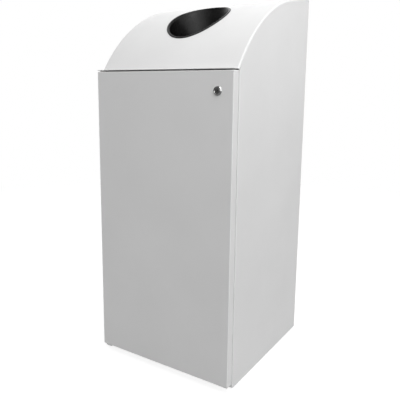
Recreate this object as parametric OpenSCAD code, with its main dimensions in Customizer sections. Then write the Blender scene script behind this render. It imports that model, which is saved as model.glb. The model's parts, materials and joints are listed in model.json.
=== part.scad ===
// Litter bin cabinet: a locked sheet-steel housing with a curved hood, an oval throw-in
// opening and a lift-out liner. Millimetres, +Z up, the door faces -Y and is hinged on -X.
// The origin is on the floor, at the middle of the footprint.

/* [Cabinet] */
// Overall width
cabinet_w = 400; // [390:1:440]
// Depth from the door's face to the back panel's face
cabinet_d = 422; // [415:1:440]
// Overall height, which is the back edge of the hood
cabinet_h = 974; // [965:1:985]
// Sheet thickness of the painted panels
sheet = 1.5; // [1.2:0.1:1.8]
// Width of the upright flanges that the door shuts against
flange_w = 25; // [23:0.5:26]
// Gap between the floor and the panels' lower edges
floor_gap = 2; // [1:0.5:3]
// Height of the floor panel's upper face
pan_z = 30; // [28:1:34]

/* [Hood] */
// Outer radius of the curved front
hood_r = 426; // [422:1:430]
// Slope of the straight top in degrees
hood_slope = 10; // [9:0.5:11]
// Run of the straight top, from the back forwards
crown_run = 121; // [115:1:125]
// Height of the lip that covers the door's top edge
lip_z = 769; // [766:1:772]

/* [Throw-in opening] */
// Radius of the opening, seen from above
opening_r = 78.5; // [74:0.5:80]
// Distance of its centre behind the door's face
opening_back = 167.5; // [164:0.5:172]
// Wall of the black collar
collar_wall = 2.5; // [2:0.1:3]
// Height of the collar's lower end
collar_foot_z = 808; // [804:1:815]

/* [Door] */
// Depth of the door's pan
door_t = 23; // [22:0.5:25]
// Gap between the shut door and the cabinet
door_gap = 4; // [3.8:0.1:5]
// Height of the door's lower edge
door_foot_z = 14; // [14:0.5:16]
// Gap between the door's top edge and the lip
door_head_gap = 3; // [3:0.1:3.5]
// Width of the flange folded in behind the door
door_flange_w = 12; // [10:0.5:13]
// Distance of the hinge line from the door's side
hinge_inset = 8; // [8:0.1:8.4]
// Diameter of the two hinge pins
hinge_pin_d = 6; // [5:0.5:6.5]

/* [Lock] */
// Distance of the lock's centre from the door's free side
lock_inset = 40; // [38:1:42]
// Distance of the lock's centre below the door's top edge
lock_drop = 45; // [42:1:50]
// Diameter of the lock's chrome head
lock_head_d = 22; // [20:0.5:24]
// How far that head stands out of the door
lock_proud = 3; // [2.5:0.1:3.5]
// Diameter of the turning plug
plug_d = 11.6; // [11:0.1:12]

/* [Liner] */
// Outer width of the liner's walls
liner_w = 320; // [300:1:322]
// Outer depth of the liner's walls
liner_d = 320; // [300:1:322]
// Height of the liner
liner_h = 572; // [540:1:580]
// Sheet thickness of the liner
liner_wall = 1; // [0.8:0.1:1.2]
// Diameter of the bail's rod
bail_d = 8; // [7:0.5:8]

/* [Hidden] */

$fn = 64;
fit = 0.05;              // radial clearance of a running fit
eps = 0.01;              // overshoot of a cut
paint = [0.9, 0.9, 0.9];
galvanised = [0.62, 0.64, 0.66];
plated = [0.75, 0.75, 0.77];
black = [0.08, 0.08, 0.08];
nylon = [0.85, 0.85, 0.8];

// The footprint's depth runs from the lock's head to the rivets' heads.
rivet_head_t = 1;
back_y = (cabinet_d + lock_proud + rivet_head_t) / 2 - rivet_head_t;
door_y = back_y - cabinet_d;
door_back_y = door_y + door_t;
front_y = door_back_y + door_gap;
side_x = cabinet_w / 2;
inner_x = side_x - sheet;
opening_x = side_x - flange_w;

// The hood's outline is an arc that runs tangent into a straight slope.
crown_y = back_y - crown_run;
crown_z = cabinet_h - crown_run * tan(hood_slope);
arc_y = crown_y + hood_r * sin(hood_slope);
arc_z = crown_z - hood_r * cos(hood_slope);
lip_t = sheet;
lip_back_y = arc_y - sqrt(pow(hood_r - sheet, 2) - pow(lip_z - arc_z, 2));
hood_tail = 24;          // height of the flange folded down behind the hood
hood_tail_z = cabinet_h - hood_tail;
header_foot_z = lip_z - 17;
rivet_inset = 10;
rivet_count = 6;
rivet_foot_z = 60;
rivet_head_z = cabinet_h - 60;
tail_rivets = 4;

// Throw-in opening
opening_y = door_y + opening_back;
collar_r = opening_r - 0.3;
collar_bore_r = collar_r - collar_wall;
rim_w = 4;               // how far the collar's rim laps over the hood
rim_t = 2;
band_gap = 0.3;
band_t = 2;
band_h = 16;
band_screw_drop = 13;
collar_screw_d = 3;

// Door and hinge
door_head_z = lip_z - lip_t - door_head_gap;
hinge_x = -side_x + hinge_inset;
hinge_y = door_y + door_t / 2;
bush_d = 10;
bush_flange_d = 14;
bush_reach = 12;
top_flange_t = 1.2;
foot_flange_t = 1.5;
washer_t = 1.4;
pin_plate_t = 1.6;
pin_reach = 14;
bracket_t = 3;
bracket_z = door_foot_z - foot_flange_t - washer_t - 0.1;
bracket_screw_d = 3;
bracket_screw_head_d = 5.6;
bumper_z = [90, 680];
stiffener_w = 60;
stiffener_t = 12;
stiffener_brim = 12;
stiffener_margin = 30;

// Lock
lock_x = side_x - lock_inset;
lock_z = door_head_z - lock_drop;
barrel_d = 16;
strike_t = 1.5;
cam_gap = 0.5;
cam_t = 2;
cam_y = front_y + sheet + strike_t + cam_gap;
barrel_back_y = cam_y - 0.6;
cam_reach = 25;
cam_w = 15;
tang_w = 8;
plug_recess = 0.4;
key_slot_w = 2;
key_slot_l = 8;
key_slot_depth = 8;
key_slot_angle = -45;
strike_h = 30;
strike_w = 14;
strike_rivet_pitch = 20;

// Liner and its bail
liner_z = pan_z;
liner_top_z = liner_z + liner_h;
liner_rim_w = 4;
liner_rim_h = 8;
liner_play = 1.5;
angle_h = 15;            // height of the angles that keep the liner in place
angle_w = 12;
bail_x = liner_w / 2 + liner_rim_w + bail_d / 2 + 1;
bail_z = liner_top_z - 16;
bail_reach = liner_d / 2 + 14;
bail_bend_r = 15;
bail_pin_d = 6;
eye_d = 14;
eye_t = 4;
stud_head_t = 1.5;
grip_l = 110;
grip_d = 14;
rest_x = 100;
rest_w = 20;

// Glides
glide_x = 180;
glide_y = [front_y + 35, back_y - 32];
glide_d = 28;
glide_foot_t = 6;
glide_stem_d = 12;
glide_screw_d = 6;
anchor_pitch_x = 240;
anchor_pitch_y = 240;
anchor_hole_d = 9;

// Height of the hood's outer face above the floor, at a given distance back
function skin_z(y) = arc_z + sqrt(pow(hood_r, 2) - pow(y - arc_y, 2));

// A cylinder along Y that starts at y and runs l backwards
module rod_y(x, y, z, d, l) {
    translate([x, y, z]) rotate([-90, 0, 0]) cylinder(d = d, h = l);
}

// A cylinder along X that starts at x and runs l to the right
module rod_x(x, y, z, d, l) {
    translate([x, y, z]) rotate([0, 90, 0]) cylinder(d = d, h = l);
}

// A block between two corners
module block(low, high) {
    translate(low) cube(high - low);
}

// The same thing on the left and on the right
module both_sides() {
    children();
    mirror([1, 0, 0]) children();
}

// The area under the hood's outline, moved outwards by grow, drawn in Y and Z
module under_skin(grow) {
    r = hood_r + grow;
    tangent = [arc_y - r * sin(hood_slope), arc_z + r * cos(hood_slope)];
    rise = (back_y - tangent[0]) * tan(hood_slope);
    intersection() {
        translate([arc_y, arc_z]) circle(r = r, $fn = 180);
        polygon([[arc_y, arc_z], tangent, tangent + [-sin(hood_slope), cos(hood_slope)] * 50,
            [arc_y - 2 * r, arc_z + r], [arc_y - 2 * r, arc_z]]);
    }
    polygon([[arc_y, arc_z], tangent, [back_y, tangent[1] + rise], [back_y, arc_z]]);
}

// An outline in Y and Z, extruded from x by w to the right
module along_x(x, w) {
    translate([x, 0, 0]) rotate([90, 0, 90]) linear_extrude(height = w) children();
}

// A rectangle in Y and Z between two corners
module patch(low, high) {
    translate(low) square(high - low);
}

// A curved layer that follows the hood, from low to high above its outer face
module hood_layer(low, high) {
    along_x(-side_x, cabinet_w) difference() {
        under_skin(high);
        under_skin(low);
    }
}

// A vertical tube round the throw-in opening
module opening_tube(inner_r, outer_r, z) {
    translate([0, opening_y, z]) difference() {
        cylinder(r = outer_r, h = cabinet_h - z + 20, $fn = 128);
        translate([0, 0, -1]) cylinder(r = inner_r, h = cabinet_h - z + 22, $fn = 128);
    }
}

// Radial places of the collar's screws
module collar_screw_places() {
    for (turn = [0:90:270]) {
        y = opening_y + opening_r * sin(turn);
        translate([0, opening_y, skin_z(y) - band_screw_drop]) rotate([0, 0, turn]) children();
    }
}

module rivet_places_back() {
    step = (rivet_head_z - rivet_foot_z) / (rivet_count - 1);
    for (i = [0:rivet_count - 2]) both_sides()
        translate([side_x - rivet_inset, 0, rivet_foot_z + i * step]) children();
    for (i = [0:tail_rivets - 1])
        translate([(i - (tail_rivets - 1) / 2) * (cabinet_w - 60) / (tail_rivets - 1), 0,
            hood_tail_z + hood_tail / 2 - 2]) children();
}

module back_rivet_holes() {
    rivet_places_back() rod_y(0, back_y - 2 * sheet - eps, 0, 4, 2 * sheet + 2 * eps);
}

module side_panel() {
    color(paint) difference() {
        union() {
            along_x(inner_x, sheet) difference() {
                intersection() {
                    union() {
                        under_skin(-sheet);
                        patch([front_y, floor_gap], [back_y, arc_z]);
                    }
                    union() {
                        patch([lip_back_y - 5, lip_z], [back_y, cabinet_h]);
                        patch([front_y, floor_gap], [back_y, lip_z]);
                    }
                }
                patch([back_y - sheet, hood_tail_z], [back_y + 1, cabinet_h + 1]);
            }
            block([opening_x, front_y, floor_gap], [inner_x, front_y + sheet, lip_z - lip_t]);
            block([opening_x, back_y - sheet, floor_gap], [inner_x, back_y, hood_tail_z]);
        }
        back_rivet_holes();
    }
}

module side_panel_left() {
    difference() {
        mirror([1, 0, 0]) side_panel();
        color(paint) bracket_screw_places() rod_y(0, front_y - eps, 0, bracket_screw_d, sheet + 2 * eps);
    }
}

module side_panel_right() {
    difference() {
        side_panel();
        color(paint) strike_rivet_places() rod_y(0, front_y - eps, 0, 4, sheet + 2 * eps);
    }
}

module back_panel() {
    color(paint) difference() {
        block([-inner_x + 1.5, back_y - 2 * sheet, floor_gap + 2],
            [inner_x - 1.5, back_y - sheet, cabinet_h - 7]);
        back_rivet_holes();
    }
}

module base_pan() {
    color(paint) difference() {
        block([-inner_x, front_y + sheet, floor_gap + 0.5], [inner_x, back_y - 2 * sheet, pan_z]);
        block([-inner_x + sheet, front_y + 2 * sheet, 0], [inner_x - sheet, back_y - 3 * sheet, pan_z - sheet]);
        glide_places() cylinder(d = glide_screw_d, h = pan_z + 1);
        anchor_places() cylinder(d = anchor_hole_d, h = pan_z + 1);
        bracket_screw_places() rod_y(0, front_y + sheet - eps, 0, bracket_screw_d, sheet + 2 * eps);
    }
}

module anchor_places() {
    for (x = [-0.5, 0.5], y = [-0.5, 0.5])
        translate([x * anchor_pitch_x, y * anchor_pitch_y, 0]) children();
}

module hood() {
    color(paint) difference() {
        union() {
            intersection() {
                hood_layer(-sheet, 0);
                block([-side_x, door_y, lip_z - lip_t], [side_x, back_y, cabinet_h]);
            }
            block([-side_x, door_y, lip_z - lip_t], [side_x, lip_back_y, lip_z]);
            intersection() {
                along_x(-side_x, cabinet_w) under_skin(0);
                block([-side_x, back_y - sheet, hood_tail_z], [side_x, back_y, cabinet_h]);
            }
        }
        translate([0, opening_y, collar_foot_z]) cylinder(r = opening_r, h = cabinet_h, $fn = 128);
        back_rivet_holes();
    }
}

module front_header() {
    color(paint) {
        block([-inner_x, front_y + sheet, header_foot_z], [inner_x, front_y + 2 * sheet, lip_z]);
        block([-inner_x, lip_back_y, lip_z - lip_t], [inner_x, front_y + 2 * sheet, lip_z]);
    }
}

module strike_rivet_places() {
    for (side = [-0.5, 0.5])
        translate([opening_x + strike_w / 2 + 1, 0, lock_z + side * strike_rivet_pitch]) children();
}

module strike_plate() {
    color(plated) difference() {
        block([opening_x + 1, front_y + sheet, lock_z - strike_h / 2],
            [opening_x + 1 + strike_w, front_y + sheet + strike_t, lock_z + strike_h / 2]);
        strike_rivet_places() rod_y(0, front_y, 0, 4, 4);
    }
}

module strike_rivets() {
    color(plated) strike_rivet_places() {
        rod_y(0, front_y, 0, 4, sheet + strike_t);
        rod_y(0, front_y - 0.9, 0, 7, 0.9);
    }
}

module panel_rivets() {
    color(plated) rivet_places_back() {
        rod_y(0, back_y - 2 * sheet - 1.5, 0, 4, 2 * sheet + 1.5);
        rod_y(0, back_y, 0, 8, rivet_head_t);
    }
}

module glide_places() {
    for (x = [-glide_x, glide_x], y = glide_y) translate([x, y, 0]) children();
}

module glides() {
    color(black) glide_places() difference() {
        union() {
            cylinder(d = glide_d, h = glide_foot_t);
            cylinder(d = glide_stem_d, h = pan_z - sheet);
        }
        translate([0, 0, glide_foot_t]) cylinder(d = glide_screw_d, h = pan_z);
    }
}

module glide_screws() {
    color(plated) glide_places() {
        translate([0, 0, glide_foot_t]) cylinder(d = glide_screw_d, h = pan_z - glide_foot_t);
        translate([0, 0, pan_z]) cylinder(d = 11, h = 3);
    }
}

module aperture_collar() {
    color(black) difference() {
        intersection() {
            union() {
                opening_tube(collar_bore_r, collar_r, collar_foot_z);
                intersection() {
                    opening_tube(collar_bore_r, opening_r + rim_w, collar_foot_z);
                    hood_layer(0, rim_t);
                }
            }
            along_x(-side_x, cabinet_w) under_skin(rim_t);
        }
        collar_screw_places() rod_x(0, 0, 0, collar_screw_d, opening_r + 10);
    }
}

module collar_retainer() {
    color(plated) difference() {
        intersection() {
            opening_tube(collar_r + band_gap, collar_r + band_gap + band_t, collar_foot_z);
            hood_layer(-sheet - band_h, -sheet);
        }
        collar_screw_places() rod_x(0, 0, 0, collar_screw_d, opening_r + 10);
    }
}

module collar_screws() {
    color(plated) collar_screw_places() {
        rod_x(collar_bore_r, 0, 0, collar_screw_d, collar_wall + band_gap + band_t + 0.2);
        rod_x(collar_r + band_gap + band_t + 0.2, 0, 0, 6, 2);
    }
}

module hinge_pin_top() {
    plate_z = lip_z - lip_t - pin_plate_t;
    color(plated) translate([hinge_x, hinge_y, 0]) {
        translate([0, 0, plate_z]) cylinder(d = bush_flange_d, h = pin_plate_t);
        translate([0, 0, plate_z - pin_reach]) cylinder(d = hinge_pin_d, h = pin_reach + eps);
    }
}

module hinge_pin_bottom() {
    color(plated) translate([hinge_x, hinge_y, bracket_z - bracket_t])
        cylinder(d = hinge_pin_d, h = bracket_t + pin_reach);
}

module bracket_screw_places() {
    screw_z = bracket_z - bracket_t - bracket_screw_head_d / 2 - 0.1;
    for (x = [hinge_x - 1, hinge_x + 11]) translate([x, 0, screw_z]) children();
}

module hinge_bracket() {
    leaf_y = front_y - bracket_t;
    color(paint) difference() {
        union() {
            block([-side_x + 1, hinge_y, bracket_z - bracket_t], [-opening_x - 2, front_y, bracket_z]);
            translate([hinge_x, hinge_y, bracket_z - bracket_t]) cylinder(d = bush_flange_d, h = bracket_t);
            block([hinge_x, hinge_y - bush_flange_d / 2, bracket_z - bracket_t],
                [-opening_x - 2, hinge_y + eps, bracket_z]);
            block([-side_x + 1, leaf_y, floor_gap], [-opening_x - 2, front_y, bracket_z]);
        }
        translate([hinge_x, hinge_y, 0]) cylinder(d = hinge_pin_d, h = bracket_z + 1);
        bracket_screw_places() rod_y(0, leaf_y - 1, 0, bracket_screw_d, bracket_t + 2);
    }
}

module bracket_screws() {
    color(plated) bracket_screw_places() {
        rod_y(0, front_y - bracket_t, 0, bracket_screw_d, bracket_t + 2 * sheet + 3);
        rod_y(0, front_y - bracket_t - 2, 0, bracket_screw_head_d, 2);
    }
}

module thrust_washer() {
    color(nylon) translate([hinge_x, hinge_y, bracket_z]) difference() {
        cylinder(d = bush_flange_d, h = washer_t);
        translate([0, 0, -1]) cylinder(d = hinge_pin_d + 2 * fit, h = washer_t + 2);
    }
}

module liner_guides() {
    guide_x = liner_w / 2 + liner_play;
    color(plated) both_sides() {
        block([guide_x, -liner_d / 2 + 40, pan_z], [guide_x + angle_w, liner_d / 2 - 40, pan_z + sheet]);
        block([guide_x, -liner_d / 2 + 40, pan_z], [guide_x + sheet, liner_d / 2 - 40, pan_z + angle_h]);
    }
}

// An angle on the floor panel, across the cabinet, with its upright leaf towards the liner
module cross_angle() {
    stop_y = liner_d / 2 + liner_play;
    half_w = liner_w / 2 - 40;
    block([-half_w, stop_y, pan_z], [half_w, stop_y + angle_w, pan_z + sheet]);
    block([-half_w, stop_y, pan_z], [half_w, stop_y + sheet, pan_z + angle_h]);
}

module liner_stop() {
    color(plated) mirror([0, 1, 0]) cross_angle();
}

module liner_backstop() {
    color(plated) cross_angle();
}

module door_panel() {
    color(paint) difference() {
        block([-side_x, door_y, door_foot_z], [side_x, door_back_y, door_head_z]);
        block([-inner_x, door_y + sheet, door_foot_z + sheet], [inner_x, door_back_y - sheet, door_head_z - sheet]);
        block([-side_x + door_flange_w, door_y + sheet, door_foot_z + door_flange_w],
            [side_x - door_flange_w, door_back_y + 1, door_head_z - door_flange_w]);
        translate([hinge_x, hinge_y, 0]) cylinder(d = bush_d, h = cabinet_h);
        rod_y(lock_x, door_y - 1, lock_z, barrel_d, 5);
    }
}

module door_stiffener() {
    low_z = door_foot_z + stiffener_margin;
    high_z = door_head_z - stiffener_margin - 40;
    inner_y = door_y + sheet;
    color(paint) difference() {
        union() {
            block([-stiffener_w / 2, inner_y, low_z], [stiffener_w / 2, inner_y + stiffener_t, high_z]);
            block([-stiffener_w / 2 - stiffener_brim, inner_y, low_z],
                [stiffener_w / 2 + stiffener_brim, inner_y + 1, high_z]);
        }
        block([-stiffener_w / 2 + 1, inner_y - 1, low_z - 1],
            [stiffener_w / 2 - 1, inner_y + stiffener_t - 1, high_z + 1]);
    }
}

// A flanged bush round the hinge line. Its flange lies from z to z + flange_t,
// and its body reaches on from there, up or down.
module bush(z, flange_t, up) {
    body_z = up ? z : z - bush_reach + flange_t;
    color(nylon) translate([hinge_x, hinge_y, 0]) difference() {
        union() {
            translate([0, 0, z]) cylinder(d = bush_flange_d, h = flange_t);
            translate([0, 0, body_z]) cylinder(d = bush_d, h = bush_reach);
        }
        translate([0, 0, body_z - 1]) cylinder(d = hinge_pin_d + 2 * fit, h = bush_reach + 2);
    }
}

module door_bush_top() {
    bush(door_head_z, top_flange_t, false);
}

module door_bush_bottom() {
    bush(door_foot_z - foot_flange_t, foot_flange_t, true);
}

module door_bumpers() {
    color(black) for (z = bumper_z)
        rod_y(inner_x - door_flange_w / 2, door_back_y, z, 9, door_gap - 0.2);
}

module lock_body() {
    color(plated) difference() {
        union() {
            rod_y(lock_x, door_y - lock_proud, lock_z, lock_head_d, lock_proud);
            rod_y(lock_x, door_y, lock_z, barrel_d, barrel_back_y - door_y);
        }
        rod_y(lock_x, door_y - lock_proud - 1, lock_z, plug_d + 2 * fit, 60);
    }
}

module lock_nut() {
    color(plated) translate([lock_x, door_y + sheet, lock_z]) rotate([-90, 0, 0]) difference() {
        cylinder(d = 25, h = 4, $fn = 6);
        translate([0, 0, -1]) cylinder(d = barrel_d, h = 6);
    }
}

module lock_plug() {
    face_y = door_y - lock_proud + plug_recess;
    color(plated) difference() {
        union() {
            rod_y(lock_x, face_y, lock_z, plug_d, barrel_back_y - face_y);
            translate([lock_x - tang_w / 2, barrel_back_y - eps, lock_z - tang_w / 2])
                cube([tang_w, cam_y + cam_t - barrel_back_y + eps, tang_w]);
        }
        translate([lock_x, face_y, lock_z]) rotate([0, key_slot_angle, 0])
            cube([key_slot_l, 2 * key_slot_depth, key_slot_w], center = true);
        rod_y(lock_x, cam_y - 10, lock_z, 4, 20);
    }
}

module lock_cam() {
    color(plated) translate([lock_x, cam_y, lock_z]) rotate([-90, 0, 0]) difference() {
        union() {
            cylinder(d = cam_w, h = cam_t);
            translate([-cam_w / 2, -cam_reach + 3, 0]) cube([cam_w, cam_reach - 3, cam_t]);
            translate([-cam_w / 2 + 3, -cam_reach, 0]) cube([cam_w - 6, cam_reach, cam_t]);
        }
        translate([-tang_w / 2, -tang_w / 2, -1]) cube([tang_w, tang_w, cam_t + 2]);
    }
}

module cam_screw() {
    color(plated) {
        rod_y(lock_x, cam_y - 10, lock_z, 4, 10 + cam_t);
        rod_y(lock_x, cam_y + cam_t, lock_z, 12, 2.5);
    }
}

module liner_bucket() {
    half = [liner_w / 2, liner_d / 2];
    rim = half + [liner_rim_w, liner_rim_w];
    color(galvanised) difference() {
        union() {
            block([-half[0], -half[1], liner_z], [half[0], half[1], liner_top_z]);
            block([-rim[0], -rim[1], liner_top_z - liner_rim_h], [rim[0], rim[1], liner_top_z]);
        }
        block([-half[0] + liner_wall, -half[1] + liner_wall, liner_z + liner_wall],
            [half[0] - liner_wall, half[1] - liner_wall, liner_top_z + 1]);
    }
}

module bail_studs() {
    eye_x = bail_x - eye_t / 2;
    color(plated) both_sides() {
        rod_x(liner_w / 2, 0, bail_z, 12, eye_x - 0.3 - liner_w / 2);
        rod_x(liner_w / 2, 0, bail_z, bail_pin_d, eye_x + eye_t + 0.3 + stud_head_t - liner_w / 2);
        rod_x(eye_x + eye_t + 0.3, 0, bail_z, 10, stud_head_t);
    }
}

module bail_rests() {
    wall_y = -liner_d / 2;
    shelf_z = bail_z - bail_d / 2;
    color(galvanised) for (x = [-rest_x, rest_x]) difference() {
        union() {
            block([x - rest_w / 2, wall_y - sheet, shelf_z - 20], [x + rest_w / 2, wall_y, shelf_z]);
            block([x - rest_w / 2, -bail_reach - bail_d / 2 - 2, shelf_z - sheet],
                [x + rest_w / 2, wall_y, shelf_z]);
        }
        rod_y(x, wall_y - 2, shelf_z - 11, 4, 3);
    }
}

module rest_rivets() {
    wall_y = -liner_d / 2;
    color(plated) for (x = [-rest_x, rest_x]) {
        rod_y(x, wall_y - sheet, bail_z - bail_d / 2 - 11, 4, sheet);
        rod_y(x, wall_y - sheet - 1, bail_z - bail_d / 2 - 11, 7, 1);
    }
}

module liner_bail() {
    arm_l = bail_reach - bail_bend_r;
    color(plated) {
        both_sides() {
            difference() {
                union() {
                    rod_x(bail_x - eye_t / 2, 0, bail_z, eye_d, eye_t);
                    rod_y(bail_x, -arm_l, bail_z, bail_d, arm_l - eye_d / 2 + 1);
                }
                rod_x(bail_x - eye_t, 0, bail_z, bail_pin_d + 2 * fit, 2 * eye_t);
            }
            translate([bail_x - bail_bend_r, -arm_l, bail_z]) rotate([0, 0, -90])
                rotate_extrude(angle = 90) translate([bail_bend_r, 0]) circle(d = bail_d, $fn = 32);
        }
        rod_x(-bail_x + bail_bend_r, -bail_reach, bail_z, bail_d, 2 * (bail_x - bail_bend_r));
    }
}

module bail_grip() {
    color(black) difference() {
        rod_x(-grip_l / 2, -bail_reach, bail_z, grip_d, grip_l);
        rod_x(-grip_l / 2 - 1, -bail_reach, bail_z, bail_d, grip_l + 2);
    }
}

side_panel_left();
side_panel_right();
back_panel();
base_pan();
hood();
front_header();
strike_plate();
strike_rivets();
panel_rivets();
glides();
glide_screws();
aperture_collar();
collar_retainer();
collar_screws();
hinge_pin_top();
hinge_pin_bottom();
hinge_bracket();
bracket_screws();
thrust_washer();
liner_guides();
liner_stop();
liner_backstop();
door_panel();
door_stiffener();
door_bush_top();
door_bush_bottom();
door_bumpers();
lock_body();
lock_nut();
lock_plug();
lock_cam();
cam_screw();
liner_bucket();
bail_studs();
bail_rests();
rest_rivets();
liner_bail();
bail_grip();
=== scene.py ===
"""Looks of the litter bin cabinet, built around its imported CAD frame. Metres, +Z up, the door faces -Y."""
import json
import math

import bmesh
import bpy
from mathutils import Matrix, Vector


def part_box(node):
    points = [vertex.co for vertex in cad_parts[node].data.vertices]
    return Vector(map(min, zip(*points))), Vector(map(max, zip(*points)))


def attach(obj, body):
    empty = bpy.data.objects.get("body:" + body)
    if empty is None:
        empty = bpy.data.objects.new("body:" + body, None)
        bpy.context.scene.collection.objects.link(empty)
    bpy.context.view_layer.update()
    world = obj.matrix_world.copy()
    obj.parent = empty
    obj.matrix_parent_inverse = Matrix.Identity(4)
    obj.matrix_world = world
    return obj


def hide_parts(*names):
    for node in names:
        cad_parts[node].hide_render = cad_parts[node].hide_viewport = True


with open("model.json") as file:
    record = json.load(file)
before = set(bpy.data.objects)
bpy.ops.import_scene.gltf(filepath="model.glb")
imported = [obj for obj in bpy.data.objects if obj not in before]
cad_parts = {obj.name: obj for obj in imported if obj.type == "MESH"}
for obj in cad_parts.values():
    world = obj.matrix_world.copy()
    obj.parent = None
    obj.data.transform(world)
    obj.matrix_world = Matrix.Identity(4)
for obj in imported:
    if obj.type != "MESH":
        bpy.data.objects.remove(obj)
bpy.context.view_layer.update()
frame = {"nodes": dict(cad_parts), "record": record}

MM = 0.001
NODES, BODY_OF = frame["nodes"], {}
for body_name, members in frame["record"]["behaviour"]["bodies"].items():
    for member in members:
        BODY_OF[member] = body_name

# ---------------------------------------------------------------- sizes

SHEET = 1.5 * MM             # painted panels
BROKEN_EDGE = 0.3 * MM       # rounding of a panel's cut edges
BEND_R = 2.5 * MM            # outer radius of a bend in a side panel
DOOR_BEND_R = 2.0 * MM
DOOR_FOLD = 12 * MM          # how far the door's edges are folded inwards behind it
HOOD_R = 426 * MM            # outer radius of the hood's curved front
HOOD_SLOPE = math.radians(10)
CROWN_RUN = 121 * MM         # run of the hood's straight top
EDGE_R = 4 * MM              # rounding of the hood's two side edges
SKIRT = 5 * MM               # how far the hood's edges turn down over the side panels
TAIL_H = 24 * MM             # the hood's rear flange, from its foot to the hood's top
TAIL_BEND_R = 5.5 * MM
SEAM = 0.15 * MM             # hairline between hood and side panel
LIP_LAP = 4 * MM             # how far the lip reaches in behind the foot of the hood's skin
FIELD = 125 * MM             # half the side of the square round the opening that its rings fill
FIELD_STEPS = 24
RIM_W = 4 * MM               # how far the collar laps over the hood
COLLAR_GAP = 0.3 * MM        # between the hood's hole and the collar's sleeve
COLLAR_WALL = 2.6 * MM       # 0.1 mm more than the CAD's, so that it covers the screws' tips
LOCK_BARREL_R = 8 * MM
LOCK_BORE_R = 5.92 * MM
KEY_TURN = Matrix.Rotation(math.radians(-45), 3, "Y")    # slant of the key slot
BUSH_R = 5 * MM              # of the door's two hinge bushes
PUNCH_GAP = 0.05 * MM        # between a punched hole of the door and what sits in it

hood_low, hood_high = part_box("hood")
panel_low, panel_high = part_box("side_panel_right")
door_low, door_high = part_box("door_panel")
collar_low, collar_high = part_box("aperture_collar")
SIDE_X, BACK_Y, FLANGE_X = panel_high.x, panel_high.y, panel_low.x
FRONT_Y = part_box("strike_plate")[0].y - SHEET
LIP_LOW_Z = hood_low.z
LIP_Z = LIP_LOW_Z + SHEET
OPENING_Y = (collar_low.y + collar_high.y) / 2
OPENING_R = collar_high.x - RIM_W
TAIL_Z = hood_high.z - TAIL_H

crown_y = BACK_Y - CROWN_RUN
crown_z = hood_high.z - CROWN_RUN * math.tan(HOOD_SLOPE)
arc_y = crown_y + HOOD_R * math.sin(HOOD_SLOPE)
arc_z = crown_z - HOOD_R * math.cos(HOOD_SLOPE)
skin_front_y = arc_y - math.sqrt(HOOD_R**2 - (LIP_Z - arc_z) ** 2)


def skin_row(y):
    """The hood's outer face at y: its point and its normal, as (y, z) pairs."""
    if y > crown_y:
        normal = Vector((-math.sin(HOOD_SLOPE), math.cos(HOOD_SLOPE)))
        return Vector((y, crown_z + (y - crown_y) * math.tan(HOOD_SLOPE))), normal
    across = (y - arc_y) / HOOD_R
    normal = Vector((across, math.sqrt(1 - across * across)))
    return Vector((arc_y, arc_z)) + HOOD_R * normal, normal


def skin_z(y):
    """Height of the hood's outer face at y."""
    return skin_row(y)[0].y


def span(low, high, steps):
    """Evenly spaced values from low to high, both included."""
    return [low + (high - low) * i / steps for i in range(steps + 1)]


# ---------------------------------------------------------------- mesh helpers


def add_object(name, mesh):
    piece = bpy.data.objects.new(name, mesh)
    bpy.context.scene.collection.objects.link(piece)
    return piece


def object_from(name, bm, sharp_deg=35):
    """Makes an object of a bmesh, smooth where its faces meet at less than sharp_deg."""
    bmesh.ops.recalc_face_normals(bm, faces=bm.faces)
    mesh = bpy.data.meshes.new(name)
    bm.to_mesh(mesh)
    bm.free()
    mesh.shade_smooth()
    mesh.set_sharp_from_angle(angle=math.radians(sharp_deg))
    return add_object(name, mesh)


def add_rounding(piece, width, angle):
    """Rounds the edges of a piece where its faces meet at more than angle degrees."""
    rounding = piece.modifiers.new("rounded edges", "BEVEL")
    rounding.width = width
    rounding.segments = 2
    rounding.limit_method = "ANGLE"
    rounding.angle_limit = math.radians(angle)


def apply_modifiers(piece):
    """Replaces a piece's mesh by what its modifiers make of it, with the large faces shaded flat."""
    piece.data.shade_smooth()
    shading = piece.modifiers.new("shading", "WEIGHTED_NORMAL")
    shading.weight = 80
    bpy.context.view_layer.update()
    graph = bpy.context.evaluated_depsgraph_get()
    made = bpy.data.meshes.new_from_object(piece.evaluated_get(graph), preserve_all_data_layers=True,
                                           depsgraph=graph)
    piece.modifiers.clear()
    piece.data = made
    return piece


def sheet_shell(name, bm, outside, punches=None):
    """Makes a panel of sheet metal from its outer skin in bm, whose farthest face looks outside.

    The skin is thickened inwards, punches are cut out of it and its cut edges are broken.
    """
    bmesh.ops.recalc_face_normals(bm, faces=bm.faces)
    farthest = max(bm.faces, key=lambda f: f.calc_center_median().dot(outside))
    if farthest.normal.dot(outside) < 0:
        bmesh.ops.reverse_faces(bm, faces=bm.faces)
    mesh = bpy.data.meshes.new(name)
    bm.to_mesh(mesh)
    bm.free()
    piece = add_object(name, mesh)
    solid = piece.modifiers.new("sheet", "SOLIDIFY")
    solid.thickness = SHEET
    solid.offset = -1
    solid.use_even_offset = True
    if punches:
        holes = piece.modifiers.new("holes", "BOOLEAN")
        holes.operation = "DIFFERENCE"
        holes.object = punches
    add_rounding(piece, BROKEN_EDGE, 50)
    apply_modifiers(piece)
    if punches:
        bpy.data.objects.remove(punches)
    return piece


def refined(node, edge):
    """A copy of a CAD node with its faces merged and its edges rounded by edge."""
    bm = bmesh.new()
    bm.from_mesh(NODES[node].data)
    bmesh.ops.remove_doubles(bm, verts=bm.verts, dist=1e-6)
    bmesh.ops.dissolve_limit(bm, angle_limit=math.radians(0.5), verts=bm.verts, edges=bm.edges)
    piece = object_from(node + "_finish", bm, 180)
    add_rounding(piece, edge, 30)
    return apply_modifiers(piece)


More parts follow.
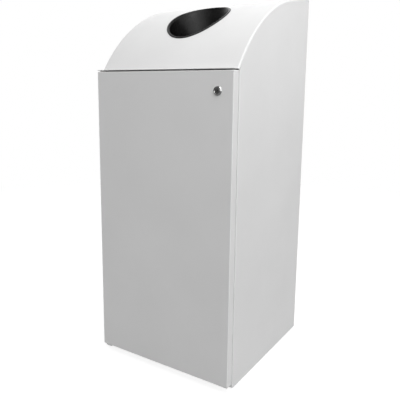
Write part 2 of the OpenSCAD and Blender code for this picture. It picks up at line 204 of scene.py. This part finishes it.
def block(low, high):
    """A bmesh with a box from its lowest to its highest corner."""
    bm = bmesh.new()
    bmesh.ops.create_cube(bm, size=1)
    for vert in bm.verts:
        for axis in range(3):
            vert.co[axis] = low[axis] if vert.co[axis] < 0 else high[axis]
    return bm


def lathe(bm, profile, place, steps=48):
    """Turns (radius, height) points round the Z axis of place. Adds to bm."""
    turns = [2 * math.pi * i / steps for i in range(steps)]
    rings = []
    for radius, height in profile:
        if radius < 1e-7:
            rings.append([bm.verts.new(place @ Vector((0, 0, height)))])
            continue
        rings.append([bm.verts.new(place @ Vector((radius * math.cos(t), radius * math.sin(t), height)))
                      for t in turns])
    for low, high in zip(rings, rings[1:]):
        for i in range(steps):
            corners = [low[i % len(low)], low[(i + 1) % len(low)],
                       high[(i + 1) % len(high)], high[i % len(high)]]
            unique = list(dict.fromkeys(corners))
            if len(unique) > 2:
                bm.faces.new(unique)


def loft(bm, rings, closed=True):
    """Joins rings of equal length by quads."""
    rows = [[bm.verts.new(p) for p in ring] for ring in rings]
    count = len(rings[0])
    for low, high in zip(rows, rows[1:]):
        for i in range(count if closed else count - 1):
            j = (i + 1) % count
            bm.faces.new((low[i], low[j], high[j], high[i]))
    return rows


def rounded_rectangle(half_x, half_y, radius, z, steps=6):
    """Points round a rectangle with round corners about the Z axis, at height z."""
    points = []
    for quarter, (sx, sy) in enumerate([(1, 1), (-1, 1), (-1, -1), (1, -1)]):
        for i in range(steps + 1):
            turn = math.pi / 2 * (quarter + i / steps)
            points.append(Vector((sx * (half_x - radius) + radius * math.cos(turn),
                                  sy * (half_y - radius) + radius * math.sin(turn), z)))
    return points


def middle_of(node):
    """The middle of a CAD node's box."""
    low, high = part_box(node)
    return (low + high) / 2


def pointing(direction, at):
    """A placement whose Z axis points along direction."""
    return Matrix.Translation(at) @ Vector(direction).to_track_quat("Z", "Y").to_matrix().to_4x4()


# ---------------------------------------------------------------- materials


class Look:
    """A material with a Principled shader and short calls for its nodes."""

    def __init__(self, name, colour, roughness, metallic=0.0, specular=0.5):
        self.material = bpy.data.materials.new(name)
        self.material.use_nodes = True
        self.tree = self.material.node_tree
        self.shader = self.tree.nodes["Principled BSDF"]
        self.shader.inputs["Base Color"].default_value = (*colour, 1)
        self.shader.inputs["Roughness"].default_value = roughness
        self.shader.inputs["Metallic"].default_value = metallic
        self.shader.inputs["Specular IOR Level"].default_value = specular
        self.place = self.node("ShaderNodeTexCoord").outputs["Object"]

    def node(self, kind, **settings):
        """A new node of a kind, with its settings."""
        made = self.tree.nodes.new(kind)
        for key, value in settings.items():
            setattr(made, key, value)
        return made

    def link(self, output, socket):
        """Wires an output to an input socket."""
        self.tree.links.new(output, socket)

    def noise(self, scale, detail=2.0, roughness=0.5, stretch=None):
        """A noise texture in the piece's own metres."""
        made = self.node("ShaderNodeTexNoise")
        made.inputs["Scale"].default_value = scale
        made.inputs["Detail"].default_value = detail
        made.inputs["Roughness"].default_value = roughness
        source = self.place
        if stretch:
            mapping = self.node("ShaderNodeMapping")
            mapping.inputs["Scale"].default_value = stretch
            self.link(source, mapping.inputs["Vector"])
            source = mapping.outputs["Vector"]
        self.link(source, made.inputs["Vector"])
        return made.outputs["Fac"]

    def spread(self, value, low, high, start=0.3, end=0.7):
        """Maps a texture's value between start and end to low and high."""
        made = self.node("ShaderNodeMapRange")
        for key, number in (("From Min", start), ("From Max", end), ("To Min", low), ("To Max", high)):
            made.inputs[key].default_value = number
        self.link(value, made.inputs["Value"])
        return made.outputs["Result"]

    def tint(self, value, dark, light, start=0.3, end=0.7):
        """Colours a texture's value from dark to light."""
        ramp = self.node("ShaderNodeValToRGB")
        ramp.color_ramp.elements[0].position = start
        ramp.color_ramp.elements[0].color = (*dark, 1)
        ramp.color_ramp.elements[1].position = end
        ramp.color_ramp.elements[1].color = (*light, 1)
        self.link(value, ramp.inputs["Fac"])
        self.link(ramp.outputs["Color"], self.shader.inputs["Base Color"])

    def rough(self, value, low, high):
        """Varies the roughness with a texture's value."""
        self.link(self.spread(value, low, high), self.shader.inputs["Roughness"])

    def bump(self, value, depth, strength=1.0, under=None):
        """Raises the surface by up to depth metres."""
        made = self.node("ShaderNodeBump")
        made.inputs["Strength"].default_value = strength
        made.inputs["Distance"].default_value = depth
        self.link(value, made.inputs["Height"])
        if under is not None:
            self.link(under, made.inputs["Normal"])
        self.link(made.outputs["Normal"], self.shader.inputs["Normal"])
        return made.outputs["Normal"]


def grey(value):
    """A colour without hue."""
    return (value, value, value)


def powder_coat():
    """White powder coat: a soft satin with a fine orange peel and a faint unevenness of tone."""
    look = Look("white_powder_coat", grey(0.76), 0.42, specular=0.4)
    look.tint(look.noise(6, detail=4), grey(0.745), grey(0.775))
    look.rough(look.noise(40, detail=3), 0.38, 0.48)
    peel = look.bump(look.noise(420, detail=2), 0.05 * MM, 0.35)
    look.bump(look.noise(1700, detail=1), 0.02 * MM, 0.3, under=peel)
    return look.material


def galvanised():
    """Hot-dip galvanised sheet: dull metal with a spangle of crystals."""
    look = Look("galvanised_steel", grey(0.55), 0.42, metallic=1.0)
    crystals = look.node("ShaderNodeTexVoronoi", feature="F1")
    crystals.inputs["Scale"].default_value = 95
    look.link(look.place, crystals.inputs["Vector"])
    split = look.node("ShaderNodeSeparateColor")
    look.link(crystals.outputs["Color"], split.inputs["Color"])
    look.tint(split.outputs["Red"], (0.43, 0.44, 0.46), (0.66, 0.67, 0.69), 0.0, 1.0)
    look.link(look.spread(split.outputs["Green"], 0.3, 0.55, 0.0, 1.0), look.shader.inputs["Roughness"])
    look.bump(look.noise(300, detail=3), 0.04 * MM, 0.3)
    return look.material


def zinc_plate():
    """Bright zinc plate on pressed and turned steel."""
    look = Look("plated_steel", grey(0.66), 0.3, metallic=1.0)
    look.tint(look.noise(90, detail=3), (0.6, 0.6, 0.61), (0.72, 0.72, 0.73))
    look.rough(look.noise(500, detail=2, stretch=(1, 1, 0.15)), 0.22, 0.4)
    look.bump(look.noise(900, detail=2), 0.01 * MM, 0.3)
    return look.material


def chrome():
    """Polished chrome with faint hairlines."""
    look = Look("chrome", grey(0.6), 0.1, metallic=1.0)
    look.tint(look.noise(200, detail=2), grey(0.56), grey(0.7))
    look.rough(look.noise(3000, detail=2, stretch=(1, 0.1, 1)), 0.05, 0.14)
    return look.material


def black_plastic():
    """Satin black moulded plastic with a fine grain."""
    look = Look("black_plastic", grey(0.006), 0.45, specular=0.22)
    look.tint(look.noise(60, detail=3), grey(0.004), grey(0.009))
    look.rough(look.noise(350, detail=2), 0.24, 0.36)
    look.bump(look.noise(1400, detail=1), 0.02 * MM, 0.25)
    return look.material


def black_rubber():
    """Matt black rubber."""
    look = Look("black_rubber", grey(0.02), 0.7, specular=0.3)
    look.tint(look.noise(80, detail=3), grey(0.014), grey(0.028))
    look.rough(look.noise(300, detail=2), 0.6, 0.8)
    look.bump(look.noise(1500, detail=2), 0.03 * MM, 0.4)
    return look.material


def natural_nylon():
    """Natural nylon, slightly translucent white."""
    look = Look("nylon", (0.72, 0.71, 0.66), 0.4)
    look.tint(look.noise(120, detail=2), (0.69, 0.68, 0.62), (0.75, 0.74, 0.69))
    look.rough(look.noise(600, detail=2), 0.35, 0.5)
    return look.material


LOOKS = {
    "white_powder_coat": powder_coat(), "galvanised_steel": galvanised(), "plated_steel": zinc_plate(),
    "chrome": chrome(), "black_plastic": black_plastic(), "black_rubber": black_rubber(),
    "nylon": natural_nylon()}
SLOT_OF = {part["node"]: part["material_slot"] for part in frame["record"]["subparts"]}


def stand_for(piece, node):
    """Dresses a piece in its node's material, lets it ride on the node's body and hides the node."""
    piece.data.materials.clear()
    piece.data.materials.append(LOOKS[SLOT_OF[node]])
    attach(piece, BODY_OF[node])
    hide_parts(node)


# ---------------------------------------------------------------- hood and panels


def tail_rows():
    """Rows of the hood's skin round the bend at the back and down its rear flange."""
    centre_y = BACK_Y - TAIL_BEND_R
    touch_y = centre_y - TAIL_BEND_R * math.sin(HOOD_SLOPE)
    centre = Vector((centre_y, skin_z(touch_y) - TAIL_BEND_R * math.cos(HOOD_SLOPE)))
    rows = []
    for turn in span(math.pi / 2 + HOOD_SLOPE, 0, 10):
        normal = Vector((math.cos(turn), math.sin(turn)))
        rows.append((centre + TAIL_BEND_R * normal, normal))
    rows.append((Vector((BACK_Y, TAIL_Z)), Vector((1, 0))))
    return touch_y, rows


def hood_columns():
    """Columns of the hood's skin from the right edge to the left, as (x, how far outside the skin)."""
    right = [(SIDE_X, -SKIRT)]
    for turn in span(0, math.pi / 2, 6):
        right.append((SIDE_X - EDGE_R + EDGE_R * math.cos(turn), -EDGE_R + EDGE_R * math.sin(turn)))
    right += [(x, 0.0) for x in span(SIDE_X - EDGE_R, FIELD, 5)[1:-1]]
    middle = [(x, 0.0) for x in span(FIELD, -FIELD, FIELD_STEPS)]
    return right + middle + [(-x, grow) for x, grow in reversed(right)], len(right)


def fill_to_rim(bm, border):
    """Fills the square inside border with rings that turn into the rim of the round opening."""
    ring = border
    for step in (0.32, 0.58, 0.78, 0.9, 0.965, 1.0):
        inner_ring = []
        for vert in border:
            x, y = vert.co.x, vert.co.y - OPENING_Y
            turn = math.atan2(y, x)
            rim = OPENING_R * Vector((math.cos(turn), math.sin(turn)))
            at = Vector((x, y)).lerp(rim, step)
            inner_ring.append(bm.verts.new((at.x, at.y + OPENING_Y, skin_z(at.y + OPENING_Y))))
        for k in range(len(ring)):
            n = (k + 1) % len(ring)
            bm.faces.new((ring[k], ring[n], inner_ring[n], inner_ring[k]))
        ring = inner_ring


def make_hood():
    """The hood: a grid with a round opening, a turned-down edge on each side, a rear flange and a lip."""
    touch_y, tail = tail_rows()
    ys = span(skin_front_y, OPENING_Y - FIELD, 5)[:-1]
    first_row = len(ys)
    last_row = first_row + FIELD_STEPS
    ys += span(OPENING_Y - FIELD, OPENING_Y + FIELD, FIELD_STEPS)
    ys += span(OPENING_Y + FIELD, touch_y, 14)[1:-1]
    rows = [skin_row(y) for y in ys] + tail
    columns, first_column = hood_columns()
    last_column = first_column + FIELD_STEPS
    bm = bmesh.new()
    grid = {}
    for j, (point, normal) in enumerate(rows):
        for i, (x, grow) in enumerate(columns):
            if first_row < j < last_row and first_column < i < last_column:
                continue
            at = point + grow * normal
            grid[i, j] = bm.verts.new((x, at.x, at.y))
    for j in range(len(rows) - 1):
        for i in range(len(columns) - 1):
            if first_row <= j < last_row and first_column <= i < last_column:
                continue
            bm.faces.new((grid[i, j], grid[i + 1, j], grid[i + 1, j + 1], grid[i, j + 1]))
    border = [(i, first_row) for i in range(last_column, first_column, -1)]
    border += [(first_column, j) for j in range(first_row, last_row)]
    border += [(i, last_row) for i in range(first_column, last_column)]
    border += [(last_column, j) for j in range(last_row, first_row, -1)]
    fill_to_rim(bm, [grid[key] for key in border])
    return joined(sheet_shell("hood_shell", bm, Vector((0, 0, 1))), make_lip())


def make_lip():
    """The flat lip over the door's top edge, with its edges rounded."""
    bm = block((-SIDE_X, hood_low.y, LIP_LOW_Z), (SIDE_X, skin_front_y + LIP_LAP, LIP_Z))
    bmesh.ops.bevel(bm, geom=bm.edges[:], offset=0.5 * MM, segments=3, profile=0.5, affect="EDGES")
    return object_from("lip", bm)


def joined(piece, other):
    """Adds the mesh of other to piece, as a separate shell of one object."""
    bm = bmesh.new()
    bm.from_mesh(piece.data)
    bm.from_mesh(other.data)
    bpy.data.objects.remove(other)
    bm.to_mesh(piece.data)
    bm.free()
    return piece


def bend_turns(centre, start, end):
    """Points round a bend of radius BEND_R about centre, from angle start to end in degrees."""
    return [centre + BEND_R * Vector((math.cos(math.radians(t)), math.sin(math.radians(t))))
            for t in span(start, end, 5)]


def make_side_panel(side):
    """One side panel: a flat face under the hood's edge, with its front and back edges folded in."""
    foot_z = panel_low.z
    touch_y, _ = tail_rows()
    line = [Vector((FLANGE_X, FRONT_Y))]
    line += bend_turns(Vector((SIDE_X - BEND_R, FRONT_Y + BEND_R)), -90, 0)
    line += [Vector((SIDE_X, y)) for y in span(FRONT_Y + BEND_R, touch_y - 2 * MM, 44)[1:]]
    line += bend_turns(Vector((SIDE_X - BEND_R, BACK_Y - BEND_R)), 0, 90)
    line.append(Vector((FLANGE_X, BACK_Y)))
    turned_down = SKIRT + SEAM

    def top_of(point):
        """Height of the panel's upper edge over a point of its outline."""
        if point.x < SIDE_X - 1e-6:
            return LIP_LOW_Z - SEAM if point.y < 0 else TAIL_Z - SEAM
        reach = HOOD_R - turned_down
        if point.y < arc_y - reach * math.sin(HOOD_SLOPE):
            return arc_z + math.sqrt(reach**2 - (point.y - arc_y) ** 2)
        if point.y > touch_y:
            return TAIL_Z - SEAM
        return skin_z(point.y) - turned_down / math.cos(HOOD_SLOPE)

    bm = bmesh.new()
    rings = []
    for height in span(0, 1, 6):
        rings.append([Vector((side * p.x, p.y, foot_z + (top_of(p) - foot_z) * height)) for p in line])
    loft(bm, rings, closed=False)
    return sheet_shell("side_shell_right" if side > 0 else "side_shell_left", bm, Vector((side, 0, 0)))


def door_punches():
    """Cylinders where the door's pan is punched: for the lock's barrel and for the two hinge bushes."""
    start, depth = 1 * MM, 6 * MM    # a punch starts in front of the sheet and goes well through it
    bm = bmesh.new()

    def punch(radius, direction, at):
        hole_r = radius + PUNCH_GAP
        lathe(bm, [(0, 0), (hole_r, 0), (hole_r, depth), (0, depth)], pointing(direction, at), 48)

    lock = middle_of("lock_body")
    punch(LOCK_BARREL_R, (0, 1, 0), Vector((lock.x, door_low.y - start, lock.z)))
    for bush, z, up in (("door_bush_bottom", door_low.z, 1), ("door_bush_top", door_high.z, -1)):
        hinge = middle_of(bush)
        punch(BUSH_R, (0, 0, up), Vector((hinge.x, hinge.y, z - up * start)))
    return object_from("door_punches", bm)


def make_door():
    """The door's pan: a flat front with its four edges folded back and then inwards."""
    bm = block(door_low, door_high)
    back = max(bm.faces, key=lambda f: f.calc_center_median().y)
    bmesh.ops.inset_region(bm, faces=[back], thickness=DOOR_FOLD, use_even_offset=True)
    bmesh.ops.delete(bm, geom=[back], context="FACES")
    bends = [e for e in bm.edges if len(e.link_faces) == 2 and e.calc_face_angle() > 1]
    bmesh.ops.bevel(bm, geom=bends, offset=DOOR_BEND_R, segments=5, profile=0.5, affect="EDGES")
    return sheet_shell("door_pan", bm, Vector((0, -1, 0)), door_punches())


# ---------------------------------------------------------------- collar


RING_TURNS = span(0, 2 * math.pi, 128)[:-1]

# The bead's section in mm: how far inside the opening's edge, and how far above the hood's face.
BEAD = [(0.3, -1.4), (-3.5, 0.05), (-3.9, 0.3), (-4.0, 0.9), (-3.6, 1.5), (-2.6, 1.95), (-0.6, 2.0),
        (0.7, 1.6), (1.7, 0.6), (2.4, -0.9), (2.9, -3.0)]


def opening_ring(inset, lift):
    """A ring that follows the opening: inset into it along the hood's face, and lift above that face."""
    ring = []
    for turn in RING_TURNS:
        y = OPENING_Y + OPENING_R * math.sin(turn)
        point, normal = skin_row(y)
        face_normal = Vector((0, normal.x, normal.y))
        outwards = Vector((math.cos(turn), math.sin(turn), 0))
        outwards = (outwards - outwards.dot(face_normal) * face_normal).normalized()
        at = Vector((OPENING_R * math.cos(turn), point.x, point.y))
        ring.append(at - inset * outwards + lift * face_normal)
    return ring


def sleeve_ring(inset, z=None, drop=0.0):
    """A ring inside the opening: level at height z, or else drop below the hood's face."""
    radius = OPENING_R - inset
    ring = []
    for turn in RING_TURNS:
        y = OPENING_Y + radius * math.sin(turn)
        ring.append(Vector((radius * math.cos(turn), y, skin_z(y) - drop if z is None else z)))
    return ring


def make_collar():
    """The black collar: a rounded bead on the hood's face that turns down into an upright sleeve."""
    bore, chamfer, foot_z = COLLAR_GAP + COLLAR_WALL, 0.5 * MM, collar_low.z
    rings = [sleeve_ring(COLLAR_GAP, foot_z)]
    rings += [opening_ring(inset * MM, lift * MM) for inset, lift in BEAD]
    rings.append(sleeve_ring(bore, drop=5 * MM))
    rings.append(sleeve_ring(bore, foot_z + 2 * chamfer))
    rings.append(sleeve_ring(bore - chamfer, foot_z))
    rings.append(rings[0])
    bm = bmesh.new()
    loft(bm, rings)
    bmesh.ops.remove_doubles(bm, verts=bm.verts, dist=1e-6)
    return object_from("collar_moulding", bm, 60)


# ---------------------------------------------------------------- lock


def make_lock_head():
    """The lock's body: a turned chrome head with a stepped face, and its barrel behind the door's skin."""
    low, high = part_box("lock_body")
    middle = middle_of("lock_body")
    head_r, length = (high.x - low.x) / 2, high.y - low.y
    proud = door_low.y - low.y
    chamfer = 1.5 * MM
    barrel = [(LOCK_BORE_R, length), (LOCK_BARREL_R - 0.4 * MM, length),
              (LOCK_BARREL_R, length - 0.4 * MM), (LOCK_BARREL_R, proud)]
    head = [(head_r, proud), (head_r, chamfer + 0.4 * MM), (head_r - 0.12 * MM, chamfer + 0.1 * MM),
            (head_r - chamfer - 0.1 * MM, 0.12 * MM), (head_r - chamfer - 0.4 * MM, 0)]
    face = [(LOCK_BORE_R + 1.5 * MM, 0), (LOCK_BORE_R + 0.9 * MM, 0.4 * MM),
            (LOCK_BORE_R + 0.5 * MM, 1.3 * MM), (LOCK_BORE_R, 1.4 * MM), (LOCK_BORE_R, length)]
    bm = bmesh.new()
    lathe(bm, barrel + head + face, pointing((0, 1, 0), Vector((middle.x, low.y, middle.z))), 64)
    bmesh.ops.remove_doubles(bm, verts=bm.verts, dist=1e-6)
    return object_from("lock_head", bm, 30)


def make_keyway_shade():
    """A black block set into the key slot, stepped like the slot's profile: painted shade for the slot's
    dark depths.
    """
    low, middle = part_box("lock_plug")[0], middle_of("lock_plug")
    centre = Vector((middle.x, low.y, middle.z))
    half_long, half_wide, top, bottom = 3.8 * MM, 0.85 * MM, 0.5 * MM, 6.5 * MM
    outline = [(-half_long, -half_wide), (half_long, -half_wide), (half_long, half_wide * 0.3),
               (half_long * 0.2, half_wide * 0.3), (half_long * 0.2, half_wide), (-half_long, half_wide)]
    bm = bmesh.new()
    ends = loft(bm, [[centre + KEY_TURN @ Vector((x, depth, z)) for x, z in outline]
                     for depth in (top, bottom)])
    for end in ends:
        bm.faces.new(end)
    bmesh.ops.bevel(bm, geom=bm.edges[:], offset=0.1 * MM, segments=2, profile=0.5, affect="EDGES")
    return object_from("keyway_shade", bm)


# ---------------------------------------------------------------- fasteners


def hexagon(radius, turn):
    """Distance from the centre to a hexagon's side at an angle, for an apothem of radius."""
    sector = math.pi / 3
    return radius / math.cos((turn + sector / 2) % sector - sector / 2)


def screw_head(bm, place, radius, height, steps=48):
    """A round head with a hexagon socket, standing on place. Adds to bm."""
    socket = radius * 0.42
    turns = [2 * math.pi * i / steps for i in range(steps)]
    levels = [(radius, 0), (radius, height * 0.45), (radius * 0.93, height * 0.75), (radius * 0.72, height)]
    rings = [[place @ Vector((r * math.cos(t), r * math.sin(t), h)) for t in turns] for r, h in levels]
    for h in (height, height * 0.35):
        rings.append([place @ Vector((hexagon(socket, t) * math.cos(t), hexagon(socket, t) * math.sin(t), h))
                      for t in turns])
    rows = loft(bm, rings)
    bm.faces.new(rows[0][::-1])
    bm.faces.new(rows[-1])


def dome_head(bm, place, radius, height, steps=32):
    """A flat-domed rivet head with the dimple of its drawn mandrel. Adds to bm."""
    lathe(bm, [(0, 0), (radius, 0), (radius, height * 0.35), (radius * 0.9, height * 0.75),
               (radius * 0.6, height), (radius * 0.28, height), (radius * 0.24, height * 0.5),
               (0, height * 0.45)], place, steps)


def islands(node):
    """The (lowest, highest) corner of each separate solid in a CAD node."""
    bm = bmesh.new()
    bm.from_mesh(NODES[node].data)
    bmesh.ops.remove_doubles(bm, verts=bm.verts, dist=1e-6)
    found, seen = [], set()
    for start in bm.verts:
        if start in seen:
            continue
        queue, group = [start], []
        seen.add(start)
        while queue:
            vert = queue.pop()
            group.append(vert.co.copy())
            for edge in vert.link_edges:
                other = edge.other_vert(vert)
                if other not in seen:
                    seen.add(other)
                    queue.append(other)
        low = Vector([min(p[i] for p in group) for i in range(3)])
        high = Vector([max(p[i] for p in group) for i in range(3)])
        found.append((low, high))
    bm.free()
    return found


def make_fasteners(node, direction, head_height, shank_radius, maker):
    """Rebuilds a node of screws or rivets: a head at the end of each shank, facing direction."""
    bm = bmesh.new()
    axis = Vector(direction)
    along = max(range(3), key=lambda i: abs(axis[i]))
    across = [i for i in range(3) if i != along]
    for low, high in islands(node):
        centre = (low + high) / 2
        radius = (high[across[0]] - low[across[0]]) / 2
        outer = high[along] if axis[along] > 0 else low[along]
        inner = low[along] if axis[along] > 0 else high[along]
        seat = centre.copy()
        seat[along] = outer - axis[along] * head_height
        maker(bm, pointing(axis, seat), radius, head_height)
        depth = abs(seat[along] - inner)
        lathe(bm, [(0, 0), (shank_radius, 0), (shank_radius, depth - 0.5 * MM),
                   (shank_radius - 0.5 * MM, depth), (0, depth)], pointing(-axis, seat), 24)
    return object_from(node + "_finish", bm)


# ---------------------------------------------------------------- liner and bail


def make_liner():
    """The galvanised liner: rounded upright corners, a pressed foot and a rolled rim."""
    low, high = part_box("liner_bucket")
    rim_w, rim_h, wall, corner = 4 * MM, 8 * MM, 1 * MM, 10 * MM
    half_x, half_y = high.x - rim_w, high.y - rim_w
    top, foot = high.z, low.z + 0.1 * MM    # the foot stands just clear of the base pan
    # The wall's section in mm, with its two swages: how far outside the wall, and how high above the foot.
    outside = [(-6, 0), (-1.2, 0.4), (0, 2.5), (0, 140), (-0.8, 143), (-0.8, 149), (0, 152),
               (0, 420), (-0.8, 423), (-0.8, 429), (0, 432)]
    rings = []

    def ring(grow, z):
        rings.append(rounded_rectangle(half_x + grow, half_y + grow, max(corner + grow, 2 * MM), z))

    for grow, height in outside:
        ring(grow * MM, foot + height * MM)
    ring(0, top - rim_h)
    for turn in span(-90, 180, 12):
        angle = math.radians(turn)
        ring(rim_w / 2 + rim_w / 2 * math.cos(angle), top - rim_h / 2 + rim_h / 2 * math.sin(angle))
    ring(-wall, top - rim_h * 0.6)
    for grow, height in reversed(outside):
        ring(grow * MM - wall, foot + max(height * MM, wall))
    bm = bmesh.new()
    rows = loft(bm, rings)
    bm.faces.new(rows[0][::-1])
    bm.faces.new(rows[-1])
    return object_from("liner_shell", bm, 40)


def make_grip():
    """The bail's grip: a moulded tube with finger ribs."""
    low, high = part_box("bail_grip")
    middle = middle_of("bail_grip")
    radius, bore, rounding, groove = (high.z - low.z) / 2, 4 * MM, 1 * MM, 0.35 * MM
    length = high.x - low.x
    steps, plain = 22 * 4, 8    # four steps for each rib, and plain ends
    profile = [(bore, 0), (radius - rounding, 0), (radius, rounding)]
    for i in range(1, steps):
        depth = groove * (1 - math.cos(2 * math.pi * i / 4)) if plain < i < steps - plain else 0
        profile.append((radius - depth, rounding + (length - 2 * rounding) * i / steps))
    profile += [(radius, length - rounding), (radius - rounding, length), (bore, length), (bore, 0)]
    bm = bmesh.new()
    lathe(bm, profile, pointing((1, 0, 0), Vector((low.x, middle.y, middle.z))), 40)
    bmesh.ops.remove_doubles(bm, verts=bm.verts, dist=1e-6)
    return object_from("grip_moulding", bm, 50)


# ---------------------------------------------------------------- the assembly

stand_for(make_hood(), "hood")
stand_for(make_side_panel(1), "side_panel_right")
stand_for(make_side_panel(-1), "side_panel_left")
stand_for(make_door(), "door_panel")
stand_for(make_collar(), "aperture_collar")
stand_for(make_lock_head(), "lock_body")
stand_for(make_liner(), "liner_bucket")
stand_for(make_grip(), "bail_grip")

# Node, the way its heads face, height of the heads, radius of the shanks (mm), kind of head
FASTENERS = [
    ("panel_rivets", (0, 1, 0), 1, 2, dome_head), ("strike_rivets", (0, -1, 0), 0.9, 2, dome_head),
    ("rest_rivets", (0, -1, 0), 1, 2, dome_head), ("bracket_screws", (0, -1, 0), 2, 1.5, screw_head),
    ("glide_screws", (0, 0, 1), 3, 3, screw_head), ("cam_screw", (0, 1, 0), 2.5, 2, screw_head)]
for node, direction, head_height, shank_r, maker in FASTENERS:
    stand_for(make_fasteners(node, direction, head_height * MM, shank_r * MM, maker), node)

# Painted shade: a black plastic block darkens the recess of the key slot.
keyway_shade = make_keyway_shade()
keyway_shade.data.materials.append(LOOKS["black_plastic"])
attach(keyway_shade, "lock_cylinder")

# The nodes that keep their CAD shape, with the rounding of their edges in mm
EDGES = {
    "back_panel": 0.4, "base_pan": 0.6, "front_header": 0.5, "strike_plate": 0.4, "glides": 0.8,
    "collar_retainer": 0.3, "collar_screws": 0.4, "hinge_pin_top": 0.4, "hinge_pin_bottom": 0.8,
    "hinge_bracket": 0.5, "thrust_washer": 0.3, "liner_guides": 0.4, "liner_stop": 0.4,
    "liner_backstop": 0.4, "door_stiffener": 0.5, "door_bush_top": 0.3, "door_bush_bottom": 0.3,
    "door_bumpers": 1.0, "lock_nut": 0.5, "lock_plug": 0.2, "lock_cam": 0.4,
    "bail_studs": 0.4, "bail_rests": 0.3, "liner_bail": 0.4}
for node, edge in EDGES.items():
    stand_for(refined(node, edge * MM), node)

# ---------------------------------------------------------------- floor, light and camera

FLOOR_TONE, FLOOR_LIFT = 0.25, 0.85    # the floor's own tone, and how much lighter the camera sees it


def make_floor():
    """A pale floor that turns into the white surroundings well away from the object."""
    bm = bmesh.new()
    lathe(bm, [(radius, 0) for radius in (0, 0.6, 1.2, 2.5, 6, 20)], Matrix.Identity(4), 96)
    floor = object_from("floor", bm)
    if floor.data.polygons[0].normal.z < 0:
        floor.data.flip_normals()
    look = Look("floor", grey(FLOOR_TONE), 0.9, specular=0.1)
    length = look.node("ShaderNodeVectorMath", operation="LENGTH")
    look.link(look.place, length.inputs[0])
    path = look.node("ShaderNodeLightPath")
    lift = look.spread(path.outputs["Is Camera Ray"], 0, FLOOR_LIFT, 0, 1)
    look.shader.inputs["Emission Color"].default_value = (1, 1, 1, 1)
    look.link(lift, look.shader.inputs["Emission Strength"])
    fade = look.node("ShaderNodeMath", operation="MULTIPLY")
    look.link(look.spread(length.outputs["Value"], 0, 1, 0.9, 2.6), fade.inputs[0])
    look.link(path.outputs["Is Camera Ray"], fade.inputs[1])
    glow = look.node("ShaderNodeEmission")
    mix = look.node("ShaderNodeMixShader")
    look.link(fade.outputs["Value"], mix.inputs["Fac"])
    look.link(look.shader.outputs["BSDF"], mix.inputs[1])
    look.link(glow.outputs["Emission"], mix.inputs[2])
    look.link(mix.outputs["Shader"], look.tree.nodes["Material Output"].inputs["Surface"])
    floor.data.materials.append(look.material)


# Soft studio walls: the direction of each, how narrow it is and how much light it adds.
EVEN_LIGHT = 0.26
WALLS = [((1, 0, 0), 1, 1.04), ((0.55, -0.8, 0.25), 6, 1.74), ((-0.54, -0.84, 0), 8, -0.2),
         ((-0.65, 0.75, 0.05), 3, 2.0)]


def wall_light(tree, towards, direction, narrowness, strength):
    """The light of one soft wall, strongest in its own direction."""

    def maths(operation, first, second):
        made = tree.nodes.new("ShaderNodeMath")
        made.operation = operation
        tree.links.new(first, made.inputs[0])
        made.inputs[1].default_value = second
        return made.outputs["Value"]

    facing = tree.nodes.new("ShaderNodeVectorMath")
    facing.operation = "DOT_PRODUCT"
    tree.links.new(towards, facing.inputs[0])
    facing.inputs[1].default_value = Vector(direction).normalized()
    lit_side = maths("MAXIMUM", facing.outputs["Value"], 0)
    return maths("MULTIPLY", maths("POWER", lit_side, narrowness), strength)


def make_surroundings():
    """White to look at, and lit by soft walls."""
    world = bpy.data.worlds.new("surroundings")
    world.use_nodes = True
    bpy.context.scene.world = world
    tree = world.node_tree
    shown, lit = tree.nodes["Background"], tree.nodes.new("ShaderNodeBackground")
    shown.inputs["Color"].default_value = (1, 1, 1, 1)
    lit.inputs["Color"].default_value = (1, 1, 1, 1)
    towards = tree.nodes.new("ShaderNodeTexCoord").outputs["Generated"]
    total = tree.nodes.new("ShaderNodeMath")
    total.inputs[0].default_value = EVEN_LIGHT
    for step, (direction, narrowness, strength) in enumerate(WALLS):
        tree.links.new(wall_light(tree, towards, direction, narrowness, strength), total.inputs[1])
        if step < len(WALLS) - 1:
            more = tree.nodes.new("ShaderNodeMath")
            tree.links.new(total.outputs["Value"], more.inputs[0])
            total = more
    tree.links.new(total.outputs["Value"], lit.inputs["Strength"])
    mix, path = tree.nodes.new("ShaderNodeMixShader"), tree.nodes.new("ShaderNodeLightPath")
    tree.links.new(path.outputs["Is Camera Ray"], mix.inputs["Fac"])
    tree.links.new(lit.outputs["Background"], mix.inputs[1])
    tree.links.new(shown.outputs["Background"], mix.inputs[2])
    tree.links.new(mix.outputs["Shader"], tree.nodes["World Output"].inputs["Surface"])


def soft_light(name, at, target, width, power):
    """A square soft area light at a place, facing a target."""
    data = bpy.data.lights.new(name, "AREA")
    data.size = width
    data.energy = power
    light = bpy.data.objects.new(name, data)
    light.location = at
    light.rotation_mode = "QUATERNION"
    light.rotation_quaternion = (Vector(target) - Vector(at)).to_track_quat("-Z", "Y")
    bpy.context.scene.collection.objects.link(light)


def make_camera():
    """The photo's viewpoint: in front and to the right, a little below the hood's top."""
    azimuth, pitch, roll = math.radians(32.68), math.radians(10.02), math.radians(0.63)
    data = bpy.data.cameras.new("camera")
    data.sensor_width = 36
    data.lens = 44.33
    data.shift_y = -0.055
    camera = bpy.data.objects.new("camera", data)
    camera.location = (0.7224, -1.1547, 0.7190)
    level = Vector((-math.sin(azimuth), math.cos(azimuth), 0))
    looking = (level * math.cos(pitch) - Vector((0, 0, math.sin(pitch)))).to_track_quat("-Z", "Y")
    camera.rotation_mode = "QUATERNION"
    camera.rotation_quaternion = (looking.to_matrix() @ Matrix.Rotation(roll, 3, "Z")).to_quaternion()
    bpy.context.scene.collection.objects.link(camera)
    bpy.context.scene.camera = camera


bpy.context.scene.view_settings.view_transform = "Standard"
make_floor()
make_surroundings()
soft_light("key", (0.6, -0.4, 1.7), (0, 0, 0.6), 0.5, 5)
make_camera()
